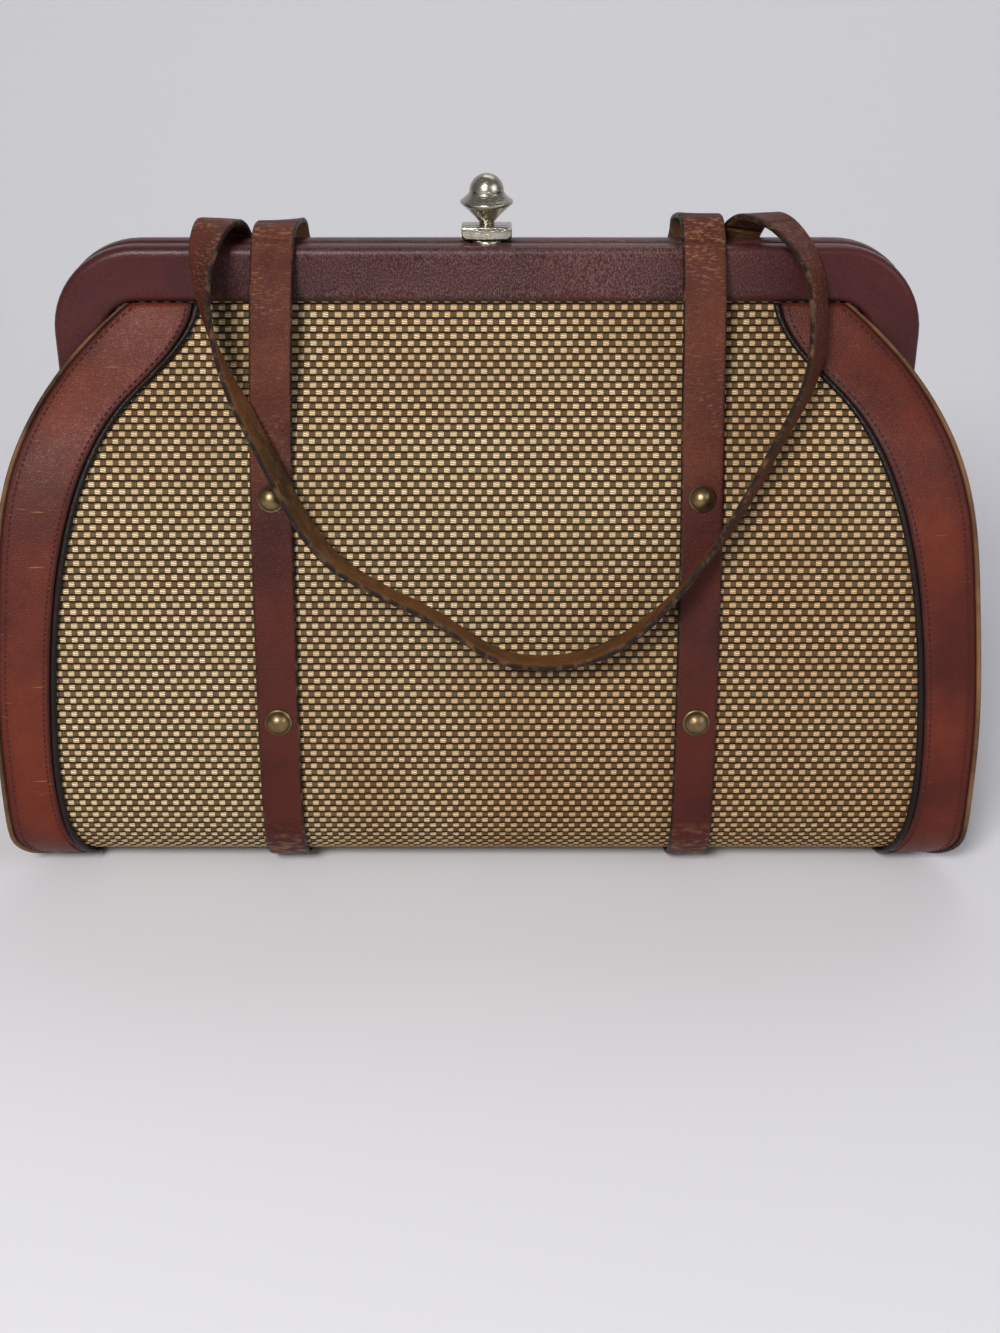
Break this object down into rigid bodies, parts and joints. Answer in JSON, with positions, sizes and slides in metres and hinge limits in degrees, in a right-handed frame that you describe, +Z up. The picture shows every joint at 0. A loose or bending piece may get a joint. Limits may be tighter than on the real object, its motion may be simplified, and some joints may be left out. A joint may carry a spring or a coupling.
{
  "type": "doctor's bag",
  "caption": "Small doctor's-bag style handbag: woven body with leather end bands, hinged leather-covered frame, finial clasp, limp strap handles.",
  "frame": {"origin": "on the surface it stands on, under the middle of the bag", "axes": "+X to the right seen from the front, along the bag's length; -Y to the front; +Z up"},
  "size_m": [0.3288, 0.1312, 0.2313],
  "materials": {
    "woven_straw": "woven straw-look yarn, cream rows with dark olive-brown ones between",
    "band_leather": "worn cognac leather with burgundy shading, semi-gloss",
    "frame_leather": "oxblood leather with a fine grain, glossy",
    "strap_leather": "rust-orange leather darkened to purple-brown by wear, semi-gloss",
    "piping_leather": "near-black rounded leather edge, glossy",
    "nickel": "aged warm nickel plate, polished with fine scratches",
    "brass": "antique brass, polished domes",
    "steel": "plain zinc-plated steel, satin",
    "lining_cloth": "plain tan cotton lining",
    "board": "grey-brown fibre board, matte"
  },
  "bodies": {
    "bag": {"body_wrap": "woven_straw", "gusset_left": "woven_straw", "gusset_right": "woven_straw", "lining_body": "lining_cloth", "lining_left": "lining_cloth", "lining_right": "lining_cloth", "bottom_board": "board", "band_front_left": "band_leather", "band_front_right": "band_leather", "band_back_left": "band_leather", "band_back_right": "band_leather", "piping_front_left": "piping_leather", "piping_front_right": "piping_leather", "piping_back_left": "piping_leather", "piping_back_right": "piping_leather", "front_strap": "strap_leather", "back_strap": "strap_leather", "stud_front_upper_left": "brass", "stud_front_upper_right": "brass", "stud_front_lower_left": "brass", "stud_front_lower_right": "brass", "stud_back_upper_left": "brass", "stud_back_upper_right": "brass", "stud_back_lower_left": "brass", "stud_back_lower_right": "brass", "hinge_pin_left": "steel", "hinge_pin_right": "steel"},
    "front_frame": {"front_frame_cover": "frame_leather", "front_frame_core": "steel", "clasp_keeper": "nickel"},
    "rear_frame": {"rear_frame_cover": "frame_leather", "rear_frame_core": "steel", "clasp_boss": "nickel", "clasp_pin": "steel"},
    "clasp": {"clasp_block": "nickel", "clasp_knob": "nickel"}
  },
  "joints": [
    {"name": "front_frame_hinge", "type": "hinge", "parent": "bag", "child": "front_frame", "pos_m": [0, 0, 0.16], "axis": [1, 0, 0], "range_deg": [0, 35], "deforming": ["body_wrap", "gusset_left", "gusset_right", "lining_body", "lining_left", "lining_right", "front_strap", "back_strap", "band_front_left", "band_front_right", "band_back_left", "band_back_right", "piping_front_left", "piping_front_right", "piping_back_left", "piping_back_right"]},
    {"name": "rear_frame_hinge", "type": "hinge", "parent": "bag", "child": "rear_frame", "pos_m": [0, 0, 0.16], "axis": [-1, 0, 0], "range_deg": [0, 35], "deforming": ["body_wrap", "gusset_left", "gusset_right", "lining_body", "lining_left", "lining_right", "front_strap", "back_strap", "band_front_left", "band_front_right", "band_back_left", "band_back_right", "piping_front_left", "piping_front_right", "piping_back_left", "piping_back_right"]},
    {"name": "clasp_rock", "type": "hinge", "parent": "rear_frame", "child": "clasp", "pos_m": [0, 0.00272, 0.2123], "axis": [-1, 0, 0], "range_deg": [0, 18], "stiffness_Nm_per_rad": 0.05, "springref_deg": -2.86}
  ]
}
